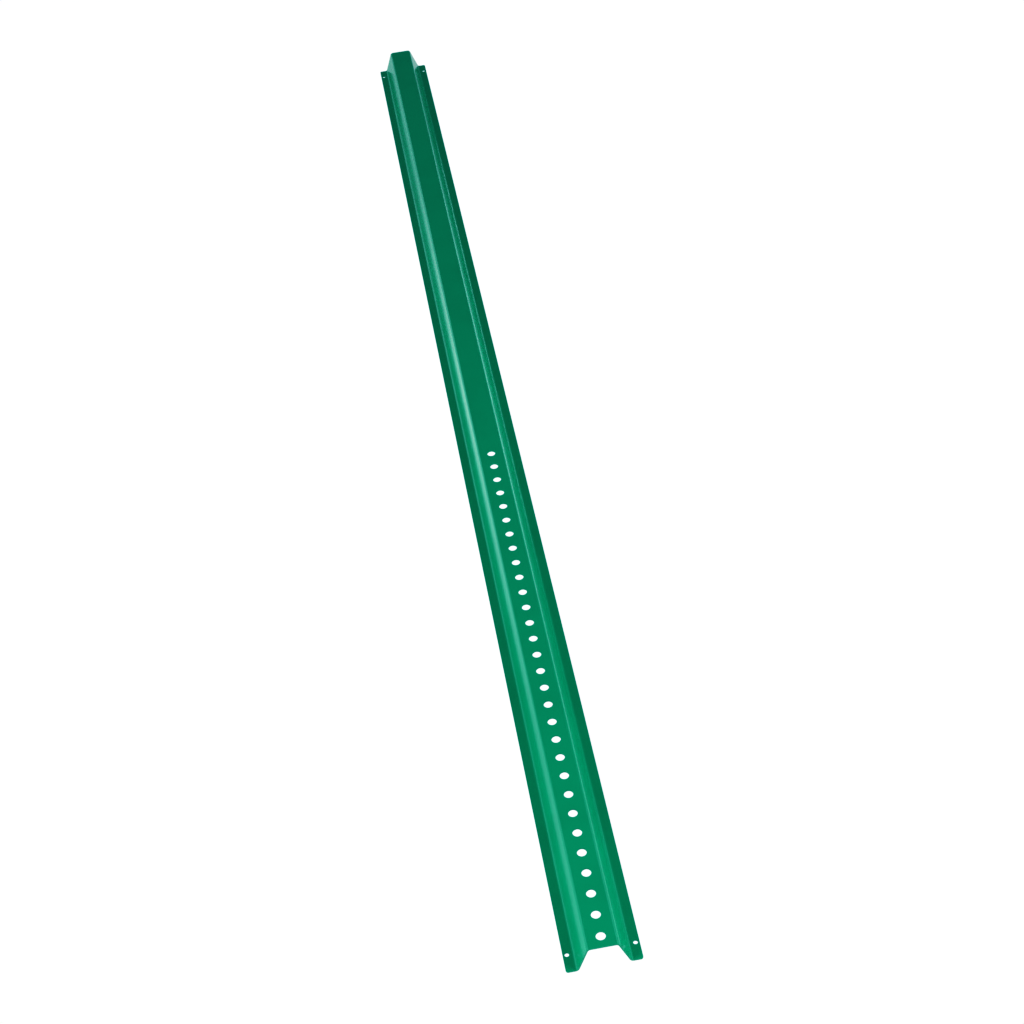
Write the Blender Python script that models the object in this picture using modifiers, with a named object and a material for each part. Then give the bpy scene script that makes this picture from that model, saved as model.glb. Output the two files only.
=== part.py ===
"""Delineator post: a 6 ft length of roll-formed, punched steel channel.

The post is one strip of sheet steel, rolled into a hat section: a narrow web, two steep walls
and two flanges. One end of the web is punched every inch for the bolts of signs and reflectors,
and each flange has a hanging hole near both ends for the paint line.

The post lies on its flanges: X across the section, Y along the length, Z up to the web.
The origin is under the middle of the post, on the plane that the flanges rest on.
The punched end is at -Y. All sizes are in metres.
"""

import math

import bmesh
import bpy

INCH = 0.0254
MM = 0.001

# The section, measured over the outside of the finished post
WIDTH = 77.5 * MM             # flange tip to flange tip
DEPTH = 33.3 * MM             # underside of the flanges to the top of the web
SHEET = 1.6 * MM              # 16 gauge sheet
WEB_CORNER = 15.3 * MM        # centre line to the sharp corner of web and wall, at mid sheet
FOOT_CORNER = 26.8 * MM       # centre line to the sharp corner of wall and flange, at mid sheet
INSIDE_RADIUS = 3.2 * MM      # inside of every fold, two sheets thick as for mild steel
TIP_RADIUS = 2.5 * MM         # rounded corners of the flanges

# The length and the punched holes
LENGTH = 72 * INCH
PITCH = 1 * INCH
FIRST_HOLE = 0.5 * INCH       # cut end to the first bolt hole
BOLT_HOLES = 30
BOLT_HOLE_DIAMETER = 10.3 * MM
HANG_HOLE_DIAMETER = 5.0 * MM
HANG_HOLE_FROM_END = 19.6 * MM
HANG_HOLE_FROM_TIP = 4.2 * MM
PLAIN_STEP = 6 * INCH         # spacing of the mesh's cross lines past the punched stretch

# How finely round forms are faceted
FOLD_SEGMENTS = 8
TIP_SEGMENTS = 5
HOLE_SIDES = 32

ENAMEL_RGBA = (0.002, 0.168, 0.082, 1.0)
ENAMEL_ROUGHNESS = 0.28

END_Y = LENGTH / 2
TIP_X = WIDTH / 2
WEB_Z = DEPTH - SHEET / 2
FLANGE_Z = SHEET / 2
FOLD_ANGLE = math.atan2(WEB_Z - FLANGE_Z, FOOT_CORNER - WEB_CORNER)
PUNCH_LENGTH = 10 * SHEET


def clear_scene():
    for old in list(bpy.data.objects):
        bpy.data.objects.remove(old)


def new_collection(name):
    group = bpy.data.collections.new(name)
    bpy.context.scene.collection.children.link(group)
    return group


def baked_enamel():
    """Green baked enamel, the only finish on the post."""
    paint = bpy.data.materials.new("green_baked_enamel")
    paint.use_nodes = True
    shader = paint.node_tree.nodes["Principled BSDF"]
    shader.inputs["Base Color"].default_value = ENAMEL_RGBA
    shader.inputs["Roughness"].default_value = ENAMEL_ROUGHNESS
    shader.inputs["Metallic"].default_value = 0.0
    return paint


def cross_lines():
    """Y of each cross line: between each two bolt holes, then further apart to the far end."""
    punched = [-END_Y + PITCH * i for i in range(BOLT_HOLES + 1)]
    plain_length = END_Y - punched[-1]
    plain_steps = round(plain_length / PLAIN_STEP)
    plain = [punched[-1] + plain_length * i / plain_steps for i in range(1, plain_steps + 1)]
    return punched + plain


def half_strip_mesh():
    """Half of the strip at mid sheet with sharp folds, drawn as a profile and pulled along Y."""
    corners = [(0, WEB_Z), (WEB_CORNER, WEB_Z), (FOOT_CORNER, FLANGE_Z), (TIP_X, FLANGE_Z)]
    stations = cross_lines()
    shape = bmesh.new()
    profile = [shape.verts.new((x, stations[0], z)) for x, z in corners]
    edges = [shape.edges.new(pair) for pair in zip(profile, profile[1:])]
    for here, there in zip(stations, stations[1:]):
        pulled = bmesh.ops.extrude_edge_only(shape, edges=edges)["geom"]
        new_verts = [item for item in pulled if isinstance(item, bmesh.types.BMVert)]
        bmesh.ops.translate(shape, verts=new_verts, vec=(0, there - here, 0))
        new_set = set(new_verts)
        edges = [item for item in pulled
                 if isinstance(item, bmesh.types.BMEdge) and set(item.verts) <= new_set]
    bmesh.ops.recalc_face_normals(shape, faces=shape.faces)
    if sum(face.normal.z for face in shape.faces) < 0:
        bmesh.ops.reverse_faces(shape, faces=shape.faces)
    mesh = bpy.data.meshes.new("channel_post")
    shape.to_mesh(mesh)
    shape.free()
    return mesh


def bevel(post, name, width, segments):
    rounding = post.modifiers.new(name, "BEVEL")
    rounding.width = width
    rounding.segments = segments
    rounding.profile = 0.5
    return rounding


def roll_form(post):
    """Mirror the half, round the flange corners and the folds, then give the sheet its gauge."""
    mirror = post.modifiers.new("Other half", "MIRROR")
    mirror.use_axis = (True, False, False)
    mirror.merge_threshold = 0.0001

    tips = post.vertex_groups.new(name="flange_corners")
    corners = [v.index for v in post.data.vertices
               if math.isclose(v.co.x, TIP_X, abs_tol=1e-5)
               and math.isclose(abs(v.co.y), END_Y, abs_tol=1e-5)]
    tips.add(corners, 1.0, "REPLACE")
    rounded = bevel(post, "Flange corners", TIP_RADIUS, TIP_SEGMENTS)
    rounded.affect = "VERTICES"
    rounded.limit_method = "VGROUP"
    rounded.vertex_group = tips.name

    fold_radius = INSIDE_RADIUS + SHEET / 2
    folds = bevel(post, "Folds", fold_radius * math.tan(FOLD_ANGLE / 2), FOLD_SEGMENTS)
    folds.limit_method = "ANGLE"
    folds.angle_limit = math.radians(30)

    gauge = post.modifiers.new("Sheet gauge", "SOLIDIFY")
    gauge.thickness = SHEET
    gauge.offset = 0
    gauge.use_even_offset = True


def add_punches(group, name, diameter, places):
    """One round punch at each place, all sharing a mesh, longer than the sheet is thick."""
    shape = bmesh.new()
    bmesh.ops.create_cone(shape, cap_ends=True, segments=HOLE_SIDES,
                          radius1=diameter / 2, radius2=diameter / 2, depth=PUNCH_LENGTH)
    mesh = bpy.data.meshes.new(name)
    shape.to_mesh(mesh)
    shape.free()
    for index, place in enumerate(places):
        punch = bpy.data.objects.new(f"{name}_{index + 1:02d}", mesh)
        punch.location = place
        punch.hide_render = True
        punch.display_type = "WIRE"
        group.objects.link(punch)


def punch_holes(post, punches):
    bolt_places = [(0, -END_Y + FIRST_HOLE + PITCH * i, WEB_Z) for i in range(BOLT_HOLES)]
    add_punches(punches, "bolt_punch", BOLT_HOLE_DIAMETER, bolt_places)

    hang_x = TIP_X - HANG_HOLE_FROM_TIP
    hang_y = END_Y - HANG_HOLE_FROM_END
    hang_places = [(side * hang_x, end * hang_y, FLANGE_Z) for side in (-1, 1) for end in (-1, 1)]
    add_punches(punches, "hang_punch", HANG_HOLE_DIAMETER, hang_places)

    cut = post.modifiers.new("Punched holes", "BOOLEAN")
    cut.operation = "DIFFERENCE"
    cut.solver = "EXACT"
    cut.operand_type = "COLLECTION"
    cut.collection = punches


def build():
    clear_scene()
    model = new_collection("delineator_post")
    punches = new_collection("punches")
    post = bpy.data.objects.new("channel_post", half_strip_mesh())
    model.objects.link(post)
    post.data.materials.append(baked_enamel())
    roll_form(post)
    punch_holes(post, punches)


build()
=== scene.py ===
# %% [markdown]
# # A green enamelled delineator post on a light table
#
# The object is one strip of sheet steel, rolled into a hat section, punched and enamelled.
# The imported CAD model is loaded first. It fixes every size and place. This script then remakes
# the post as a finer surface with soft folds, round holes and rounded cut edges, gives it an
# oven-baked enamel, and sets it on a light table among softboxes.

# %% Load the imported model
import math

import bmesh
import bpy
from mathutils import Matrix, Vector


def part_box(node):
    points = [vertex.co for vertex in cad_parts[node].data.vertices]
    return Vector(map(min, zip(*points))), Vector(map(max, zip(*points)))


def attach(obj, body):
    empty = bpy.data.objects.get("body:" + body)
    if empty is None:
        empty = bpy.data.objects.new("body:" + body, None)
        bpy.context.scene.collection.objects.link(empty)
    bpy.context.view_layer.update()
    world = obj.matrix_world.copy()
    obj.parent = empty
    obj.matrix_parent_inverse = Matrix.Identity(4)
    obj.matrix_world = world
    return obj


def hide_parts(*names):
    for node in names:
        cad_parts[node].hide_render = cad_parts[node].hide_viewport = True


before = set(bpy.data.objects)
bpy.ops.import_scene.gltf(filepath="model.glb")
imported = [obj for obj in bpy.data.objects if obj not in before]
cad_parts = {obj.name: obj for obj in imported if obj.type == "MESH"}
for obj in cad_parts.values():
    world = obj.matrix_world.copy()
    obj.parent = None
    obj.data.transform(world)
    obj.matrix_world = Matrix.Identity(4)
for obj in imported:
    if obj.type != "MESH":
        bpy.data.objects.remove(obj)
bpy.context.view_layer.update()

# %% [markdown]
# ## Real sizes
#
# The overall width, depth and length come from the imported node, so the new surface cannot drift
# from it. The rest are the sizes that a roll-forming shop would put on the drawing: the gauge of
# the sheet, the sharp corners of the section, the fold radius and the punching plan.

# %% Sizes of the section and of the punching
MM = 0.001
INCH = 0.0254
CLOSE = MM / 10               # points nearer than this are the same point

post_low, post_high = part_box("channel_post")
END_Y = (post_high.y - post_low.y) / 2
TIP_X = (post_high.x - post_low.x) / 2
TOP_Z = post_high.z

SHEET = 1.6 * MM
WEB_CORNER = 15.3 * MM        # centre line to the sharp corner of web and wall, at mid sheet
FOOT_CORNER = 26.8 * MM       # centre line to the sharp corner of wall and flange, at mid sheet
INSIDE_RADIUS = 3.2 * MM
TIP_RADIUS = 2.5 * MM

PITCH = 1 * INCH
FIRST_HOLE = 0.5 * INCH
BOLT_HOLES = 30
BOLT_HOLE_RADIUS = 10.3 * MM / 2
HANG_HOLE_RADIUS = 5.0 * MM / 2
HANG_HOLE_FROM_END = 19.6 * MM
HANG_HOLE_FROM_TIP = 4.2 * MM

FOLD_ANGLE = math.atan2(TOP_Z - SHEET, FOOT_CORNER - WEB_CORNER)
print("walls lean", round(90 - math.degrees(FOLD_ANGLE), 1), "degrees outwards")

# %% [markdown]
# ## The section, drawn with a compass
#
# Every fold is an arc, so the profile is drawn the way a compass would: a vertex is spun round
# each fold's centre and pushed straight along the wall and the flange. The surface drawn is the
# upper skin of the sheet. Its web fold is on the outside of the bend, so its radius is one sheet
# larger than the inside radius, and its foot fold is on the inside. Only the +X half is drawn.

# %% Draw half of the upper skin
FOLD_STEPS = 14


def push(bm, vert, step):
    """Extrudes one vertex by a vector and returns the new end."""
    made = bmesh.ops.extrude_vert_indiv(bm, verts=[vert])["verts"]
    bmesh.ops.translate(bm, verts=made, vec=step)
    return made[0]


def spin(bm, vert, centre, angle):
    """Spins one vertex round a centre about +Y and returns the new end."""
    made = bmesh.ops.spin(bm, geom=[vert], cent=centre, axis=(0, 1, 0), dvec=(0, 0, 0),
                          angle=angle, steps=FOLD_STEPS, use_merge=False,
                          use_normal_flip=False, use_duplicate=False)
    return next(item for item in made["geom_last"] if isinstance(item, bmesh.types.BMVert))


def half_profile(bm, y):
    """The upper skin from the web's fold to the flange tip, in the plane at y."""
    lean = SHEET / 2 * math.tan(FOLD_ANGLE / 2)
    outer = INSIDE_RADIUS + SHEET
    web_edge = WEB_CORNER + lean - outer * math.tan(FOLD_ANGLE / 2)
    foot_edge = FOOT_CORNER + lean + INSIDE_RADIUS * math.tan(FOLD_ANGLE / 2)
    start = bm.verts.new((web_edge, y, TOP_Z))
    fold_end = spin(bm, start, (web_edge, y, TOP_Z - outer), FOLD_ANGLE)
    foot_top = Vector((foot_edge, y, SHEET + INSIDE_RADIUS))
    foot_start = foot_top + INSIDE_RADIUS * Vector((-math.sin(FOLD_ANGLE), 0, -math.cos(FOLD_ANGLE)))
    wall_end = push(bm, fold_end, foot_start - fold_end.co)
    flange_start = spin(bm, wall_end, foot_top, -FOLD_ANGLE)
    push(bm, flange_start, (TIP_X - flange_start.co.x, 0, 0))
    return web_edge, foot_edge


skin = bmesh.new()
WEB_EDGE, FOOT_EDGE = half_profile(skin, -END_Y)
print("flat web, mm:", round(2 * WEB_EDGE / MM, 1), " flat flange, mm:", round((TIP_X - FOOT_EDGE) / MM, 1))

# %% [markdown]
# ## Rolling the strip to length
#
# The profile is pulled along Y one pitch at a time. A cross line between each two holes gives
# every hole a cell of its own, so a hole never has to share a face with its neighbour.

# %% Pull the profile along the post
STATIONS = round(2 * END_Y / PITCH)


def pull(bm, edges, distance, times):
    """Extrudes a chain of edges along Y again and again."""
    for _ in range(times):
        made = bmesh.ops.extrude_edge_only(bm, edges=edges)["geom"]
        fresh = [item for item in made if isinstance(item, bmesh.types.BMVert)]
        bmesh.ops.translate(bm, verts=fresh, vec=(0, distance, 0))
        edges = [item for item in made
                 if isinstance(item, bmesh.types.BMEdge) and set(item.verts) <= set(fresh)]


pull(skin, list(skin.edges), 2 * END_Y / STATIONS, STATIONS)
print("half skin:", len(skin.faces), "faces in", STATIONS, "lengths of one pitch")

# %% [markdown]
# ## Punching
#
# A punched hole in a flat cell needs a clean ring of faces round its rim, because the rim is
# rounded later. So the cell's face is taken out, a circle at the rim and a slightly larger one
# are bridged into a collar, and the space between the collar and the cell's border is filled.

# %% The punch
COLLAR = 0.9 * MM


def circle(bm, centre, radius, sides):
    """Draws a circle and returns its edges, in the order they were made."""
    made = bmesh.ops.create_circle(bm, cap_ends=False, segments=sides, radius=radius,
                                   matrix=Matrix.Translation(centre))["verts"]
    return list(dict.fromkeys(edge for vert in made for edge in vert.link_edges))


def punch(bm, border, centre, radius, sides):
    """Fills the border's edges with flat faces, leaving a round hole with a collar."""
    rim = circle(bm, centre, radius, sides)
    collar = circle(bm, centre, radius + COLLAR, sides)
    bmesh.ops.bridge_loops(bm, edges=rim + collar)
    bmesh.ops.triangle_fill(bm, edges=border + collar, use_beauty=True, normal=(0, 0, 1))


def punch_face(bm, face, centre, radius, sides):
    border = list(face.edges)
    bmesh.ops.delete(bm, geom=[face], context="FACES_ONLY")
    punch(bm, border, centre, radius, sides)


# %% Rounded corners and hanging holes of the flange
HANG_HOLE_SIDES = 40
TIP_STEPS = 8


def face_over(bm, x, y):
    """The face of the upper skin whose outline holds the point (x, y)."""
    def holds(face):
        xs = [v.co.x for v in face.verts]
        ys = [v.co.y for v in face.verts]
        return min(xs) < x < max(xs) and min(ys) < y < max(ys)
    return next(face for face in bm.faces if holds(face))


corners = [v for v in skin.verts if v.co.x > TIP_X - CLOSE and abs(v.co.y) > END_Y - CLOSE]
bmesh.ops.bevel(skin, geom=corners, offset=TIP_RADIUS, offset_type="OFFSET", affect="VERTICES",
                segments=TIP_STEPS, profile=0.5, material=-1)
for end in (-1, 1):
    place = Vector((TIP_X - HANG_HOLE_FROM_TIP, end * (END_Y - HANG_HOLE_FROM_END), SHEET))
    punch_face(skin, face_over(skin, place.x, place.y), place, HANG_HOLE_RADIUS, HANG_HOLE_SIDES)
print("corners rounded:", len(corners))

# %% [markdown]
# ## The other half, and the web between them
#
# The half is mirrored, and the two halves are joined by the flat web. A cell of the web is
# either a plain face or, over the first thirty pitches, a punched one.

# %% Mirror, then close the web cell by cell
BOLT_HOLE_SIDES = 72

bmesh.ops.mirror(skin, geom=list(skin.verts) + list(skin.edges) + list(skin.faces),
                 axis="X", merge_dist=0)


def web_vert(bm, side, y):
    return next(v for v in bm.verts if abs(v.co.x - side * WEB_EDGE) < CLOSE
                and abs(v.co.y - y) < CLOSE and abs(v.co.z - TOP_Z) < CLOSE)


rungs = []
for station in range(STATIONS + 1):
    y = -END_Y + 2 * END_Y * station / STATIONS
    left, right = (web_vert(skin, side, y) for side in (-1, 1))
    rungs.append(bmesh.ops.contextual_create(skin, geom=[left, right])["edges"][0])

for station, (here, there) in enumerate(zip(rungs, rungs[1:])):
    rails = [skin.edges.get(pair) for pair in
             ((a, b) for a in here.verts for b in there.verts if abs(a.co.x - b.co.x) < MM)]
    border = [here, there, *rails]
    if station < BOLT_HOLES:
        middle = Vector((0, -END_Y + FIRST_HOLE + station * PITCH, TOP_Z))
        punch(skin, border, middle, BOLT_HOLE_RADIUS, BOLT_HOLE_SIDES)
    else:
        bmesh.ops.contextual_create(skin, geom=border)

bmesh.ops.recalc_face_normals(skin, faces=skin.faces)
if sum(face.normal.z * face.calc_area() for face in skin.faces) < 0:
    bmesh.ops.reverse_faces(skin, faces=skin.faces)
open_edges = sum(edge.is_boundary for edge in skin.edges)
print("upper skin:", len(skin.faces), "faces,", open_edges, "edges on cut ends, tips and holes")

# %% [markdown]
# ## Gauge and edges
#
# Solidify gives the skin its 16 gauge downwards. Its rim faces, which are the sheared ends, the
# slit flange tips and the walls of the holes, take the second material. Bevel then rounds the
# right-angled edges only, as tumbling and a coat of enamel do, and Weighted Normal keeps the flat
# faces flat right up to those small radii.

# %% Make the post
EDGE_RADIUS = 0.35 * MM
EDGE_STEPS = 3
SHARPEST_FOLD = math.radians(60)   # a steeper edge than this is a cut edge


def post_object(bm):
    mesh = bpy.data.meshes.new("enamelled_post")
    bm.to_mesh(mesh)
    bm.free()
    mesh.shade_smooth()
    post = bpy.data.objects.new("enamelled_post", mesh)
    bpy.context.scene.collection.objects.link(post)

    gauge = post.modifiers.new("Sheet gauge", "SOLIDIFY")
    gauge.thickness = SHEET
    gauge.offset = -1
    gauge.use_even_offset = True
    gauge.material_offset_rim = 1

    rounding = post.modifiers.new("Rounded cut edges", "BEVEL")
    rounding.width = EDGE_RADIUS
    rounding.segments = EDGE_STEPS
    rounding.profile = 0.5
    rounding.limit_method = "ANGLE"
    rounding.angle_limit = SHARPEST_FOLD

    flats = post.modifiers.new("Flat faces stay flat", "WEIGHTED_NORMAL")
    flats.mode = "FACE_AREA"
    flats.weight = 50
    return post


post = post_object(skin)
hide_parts("channel_post")
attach(post, "root")
print("sheet", SHEET / MM, "mm, cut edges rounded by", round(EDGE_RADIUS / MM, 2), "mm")

# %% [markdown]
# ## Colours and nodes
#
# Colours are written as the sRGB hex values that a colour picker shows. Shaders work in linear
# light, so one function converts them. One more small function adds a node, sets its inputs and
# links it, so that a material reads as a short recipe.

# %% Helpers for materials
def linear(hex_colour):
    """An sRGB hex colour as opaque linear RGBA."""
    parts = [int(hex_colour[i:i + 2], 16) / 255 for i in (1, 3, 5)]
    return (*(p / 12.92 if p <= 0.04045 else ((p + 0.055) / 1.055) ** 2.4 for p in parts), 1.0)


def add_node(tree, kind, inputs=None, **settings):
    """Adds a node. An input is a value, or another node's output socket to link from."""
    node = tree.nodes.new(kind)
    for name, value in settings.items():
        setattr(node, name, value)
    for name, value in (inputs or {}).items():
        if isinstance(value, bpy.types.NodeSocket):
            tree.links.new(value, node.inputs[name])
        else:
            node.inputs[name].default_value = value
    return node


def new_material(name):
    material = bpy.data.materials.new(name)
    material.use_nodes = True
    return material, material.node_tree, material.node_tree.nodes["Principled BSDF"]


# %% [markdown]
# ## Baked enamel
#
# The finish is an alkyd baking enamel, dipped or flow-coated on while the post hangs from its
# flange holes, and cured in an oven. It is a smooth, glossy, deep green film about 30 micrometres
# thick. To the eye that gives soft reflections with a touch of the green in them, a faint orange
# peel a few millimetres across, and the long, nearly invisible draw lines of the rolls.

# %% The enamel
ENAMEL_GREEN = "#028E5F"
ENAMEL_THIN = "#02895B"
ENAMEL_ROUGHNESS = 0.15
ENAMEL_IOR = 1.5
GLOSS_TINT = (0.8, 1.0, 0.95, 1.0)
EDGE_GREEN = "#01764B"
EDGE_THIN = "#016A43"
EDGE_ROUGHNESS = 0.3

FILM_CLOUD = 60 * MM          # size of the slow changes in film thickness
PEEL_SIZE = 3.5 * MM          # one dimple of the orange peel
PEEL_STRENGTH = 0.12
ROLL_LINE = 2.2 * MM          # spacing of the draw lines across the sheet
ROLL_LENGTH = 400 * MM
ROLL_STRENGTH = 0.2
RELIEF = 0.02 * MM            # height of both textures


def enamel(name, colour, thin_colour, roughness):
    material, tree, shader = new_material(name)
    place = add_node(tree, "ShaderNodeTexCoord").outputs["Object"]

    cloud = add_node(tree, "ShaderNodeTexNoise", {"Vector": place, "Scale": 1 / FILM_CLOUD,
                                                  "Detail": 3.0, "Roughness": 0.5})
    film = add_node(tree, "ShaderNodeValToRGB", {"Fac": cloud.outputs["Fac"]})
    film.color_ramp.elements[0].position = 0.30
    film.color_ramp.elements[0].color = linear(thin_colour)
    film.color_ramp.elements[1].position = 0.55
    film.color_ramp.elements[1].color = linear(colour)

    along = add_node(tree, "ShaderNodeMapping",
                     {"Vector": place, "Scale": (1 / ROLL_LINE, 1 / ROLL_LENGTH, 1 / ROLL_LINE)})
    lines = add_node(tree, "ShaderNodeTexNoise", {"Vector": along.outputs["Vector"], "Scale": 1.0,
                                                  "Detail": 2.0, "Roughness": 0.6})
    drawn = add_node(tree, "ShaderNodeBump", {"Height": lines.outputs["Fac"],
                                              "Strength": ROLL_STRENGTH, "Distance": RELIEF})
    peel = add_node(tree, "ShaderNodeTexNoise", {"Vector": place, "Scale": 1 / PEEL_SIZE,
                                                 "Detail": 1.0, "Roughness": 0.4})
    dimpled = add_node(tree, "ShaderNodeBump", {"Height": peel.outputs["Fac"],
                                                "Strength": PEEL_STRENGTH, "Distance": RELIEF,
                                                "Normal": drawn.outputs["Normal"]})

    tree.links.new(film.outputs["Color"], shader.inputs["Base Color"])
    tree.links.new(dimpled.outputs["Normal"], shader.inputs["Normal"])
    shader.inputs["Roughness"].default_value = roughness
    shader.inputs["IOR"].default_value = ENAMEL_IOR
    shader.inputs["Specular Tint"].default_value = GLOSS_TINT
    return material


FINISHES = (
    ("green baked enamel", ENAMEL_GREEN, ENAMEL_THIN, ENAMEL_ROUGHNESS),
    ("enamel on sheared edges", EDGE_GREEN, EDGE_THIN, EDGE_ROUGHNESS),
)
for finish in FINISHES:
    post.data.materials.append(enamel(*finish))
print("finishes:", [material.name for material in post.data.materials])

# %% [markdown]
# ## The studio
#
# The post lies on a light table, a sheet of opal acrylic lit from below. That is how a long
# metal part is shot for a catalogue: the table throws no hard shadow, and the glossy walls mirror
# it. Its lamps stand closest under the middle of the post, so the walls are lightest there. The
# table lights the post but is hidden from the camera, which sees a plain white backdrop in its
# place and through every hole. The hall above is dark, so the flat web keeps its deep green.

# %% The light table and the backdrop
TABLE_GAP = 0.3 * MM          # keeps the table's surface apart from the post's underside
TABLE_GLOW = 1.25             # emission over the lamps
TABLE_NEAR = 0.27             # share of that at the punched end and beyond
TABLE_FAR = 0.36              # and at the plain end
LAMP_SPAN = 0.6               # metres from the middle to where the share is reached
TABLE_RADIUS = 14.0
BACKDROP_RADIUS = 14.5
HALL_GREY = 0.16


def stage_piece(name, bm, material):
    """Makes a piece of the set from a mesh."""
    mesh = bpy.data.meshes.new(name)
    bm.to_mesh(mesh)
    bm.free()
    mesh.materials.append(material)
    piece = bpy.data.objects.new(name, mesh)
    bpy.context.scene.collection.objects.link(piece)
    return piece


def opal_acrylic():
    """Opal acrylic whose lamps stand closest under the middle of the post."""
    material, tree, shader = new_material("lit opal acrylic")
    place = add_node(tree, "ShaderNodeTexCoord").outputs["Object"]
    apart = add_node(tree, "ShaderNodeSeparateXYZ", {"Vector": place})
    along = add_node(tree, "ShaderNodeMapRange", {"Value": apart.outputs["Y"],
                                                  "From Min": -LAMP_SPAN, "From Max": LAMP_SPAN})
    lamps = add_node(tree, "ShaderNodeValToRGB", {"Fac": along.outputs["Result"]})
    stops = lamps.color_ramp.elements
    stops[0].color = (TABLE_NEAR, TABLE_NEAR, TABLE_NEAR, 1)
    stops[1].color = (TABLE_FAR, TABLE_FAR, TABLE_FAR, 1)
    stops.new(0.5).color = (1, 1, 1, 1)
    shader.inputs["Base Color"].default_value = linear("#F4F5F5")
    shader.inputs["Roughness"].default_value = 0.6
    tree.links.new(lamps.outputs["Color"], shader.inputs["Emission Color"])
    shader.inputs["Emission Strength"].default_value = TABLE_GLOW
    return material


def pale_paper():
    """White paper that glows just enough to stay white."""
    material, _, shader = new_material("pale backdrop paper")
    shader.inputs["Base Color"].default_value = linear("#000000")
    shader.inputs["Emission Color"].default_value = linear("#FFFFFF")
    shader.inputs["Emission Strength"].default_value = 1.0
    return material


disc = bmesh.new()
bmesh.ops.create_circle(disc, cap_ends=True, segments=96, radius=TABLE_RADIUS,
                        matrix=Matrix.Translation((0, 0, -TABLE_GAP)))
table = stage_piece("light_table", disc, opal_acrylic())
table.visible_camera = False

dome = bmesh.new()
bmesh.ops.create_uvsphere(dome, u_segments=48, v_segments=24, radius=BACKDROP_RADIUS)
backdrop = stage_piece("backdrop", dome, pale_paper())
backdrop.visible_glossy = False
backdrop.visible_diffuse = False
backdrop.visible_shadow = False

world = bpy.data.worlds.new("dark hall")
world.use_nodes = True
hall = world.node_tree.nodes["Background"]
hall.inputs["Color"].default_value = (HALL_GREY, HALL_GREY, HALL_GREY, 1)
bpy.context.scene.world = world
print("table glow, near, middle, far:", [round(TABLE_GLOW * v, 2) for v in (TABLE_NEAR, 1, TABLE_FAR)])

# %% [markdown]
# ## The softboxes
#
# Two keys stand low, left and right of the punched end, and light only the matt green. The flat
# web would mirror such small, bright lamps as a white glare, so they are kept out of the gloss.
# Two weak fills and a long strip carry the light on along the post. The two shines do the
# opposite: they show only in the gloss, and draw the long highlights down the folds.

# %% Softboxes
def softbox(name, location, target, size, power, matt, mirrored):
    """Stands a softbox at a place, aimed at a point on the post."""
    lamp = bpy.data.lights.new(name, "AREA")
    lamp.shape = "RECTANGLE"
    lamp.size, lamp.size_y = size
    lamp.energy = power
    holder = bpy.data.objects.new(name, lamp)
    holder.location = location
    holder.rotation_mode = "QUATERNION"
    holder.rotation_quaternion = (Vector(target) - Vector(location)).to_track_quat("-Z", "Y")
    holder.visible_diffuse = matt
    holder.visible_glossy = mirrored
    bpy.context.scene.collection.objects.link(holder)


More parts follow.
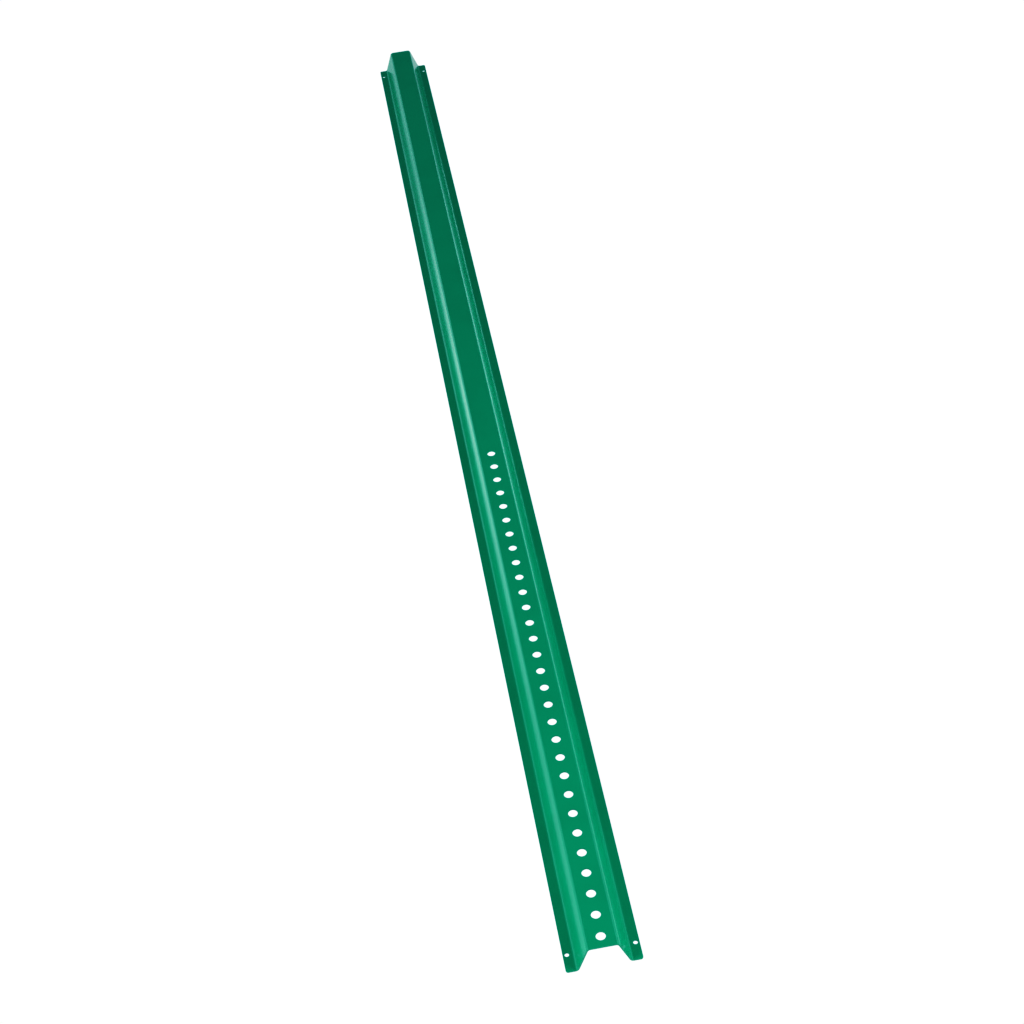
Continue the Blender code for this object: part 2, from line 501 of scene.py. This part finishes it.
# name, place, aim, size in metres, watts, lights the matt green, shows in the gloss
LIGHTS = (
    ("key_left", (-1.3, -1.3, 0.7), (0, -0.8, 0), (1.0, 1.0), 22, True, False),
    ("key_right", (1.3, -1.3, 0.7), (0, -0.8, 0), (1.0, 1.0), 24, True, False),
    ("fill_left", (-1.6, 0.2, 0.9), (0, 0.2, 0), (1.0, 1.0), 3, True, True),
    ("fill_right", (1.6, 0.2, 0.9), (0, 0.2, 0), (1.0, 1.0), 4.5, True, True),
    ("strip_left", (-1.8, 1.8, 0.6), (0, 0.9, 0), (3.0, 1.2), 12, True, True),
    ("shine_left", (-1.8, 2.4, 0.6), (0, 0.5, 0), (1.2, 1.2), 2.3, False, True),
    ("shine_right", (1.8, 2.4, 0.15), (0, 0.5, 0), (1.2, 0.35), 4, False, True),
)
for light in LIGHTS:
    softbox(*light)
print(len(LIGHTS), "softboxes:", sum(light[4] for light in LIGHTS), "watts in all")

# %% [markdown]
# ## The camera
#
# It looks steeply down along the post from beyond the punched end, a little from the left, and it
# is rolled a few degrees, so the post runs up the picture to the left and shrinks as it goes.

# %% Place the camera
LENS = 63.5
CAMERA_AIM = Vector((0.009, -0.2794, TOP_Z - SHEET / 2))
CAMERA_DISTANCE = 2.2143
CAMERA_AZIMUTH = math.radians(4.16)
CAMERA_TILT = math.radians(42.52)
CAMERA_ROLL = math.radians(6.89)

forward = Vector((math.sin(CAMERA_AZIMUTH) * math.cos(CAMERA_TILT),
                  math.cos(CAMERA_AZIMUTH) * math.cos(CAMERA_TILT), -math.sin(CAMERA_TILT)))
lens = bpy.data.cameras.new("camera")
lens.lens = LENS
lens.sensor_width = 36.0
camera = bpy.data.objects.new("camera", lens)
camera.location = CAMERA_AIM - forward * CAMERA_DISTANCE
camera.rotation_mode = "QUATERNION"
level = forward.to_track_quat("-Z", "Y")
camera.rotation_quaternion = level @ Matrix.Rotation(-CAMERA_ROLL, 3, "Z").to_quaternion()
bpy.context.scene.collection.objects.link(camera)
bpy.context.scene.camera = camera
print("camera at", [round(v, 3) for v in camera.location])

# %% [markdown]
# ## The grade
#
# A catalogue prints this green deep and clean. The red curve has a long toe, so a weak white
# reflection on the enamel stays mint, and only a strong one turns pale. Green and blue are left
# alone, and so is white.

# %% Grade the red channel
RED_TOE = ((0.05, 0.006), (0.12, 0.024), (0.22, 0.07), (0.40, 0.25))

grade = bpy.context.scene.view_settings
grade.view_transform = "Standard"
grade.use_curve_mapping = True
grade.curve_mapping.initialize()
red_curve = grade.curve_mapping.curves[0]
for light_in, light_out in RED_TOE:
    red_curve.points.new(light_in, light_out)
grade.curve_mapping.update()
print("red curve:", len(red_curve.points), "points")
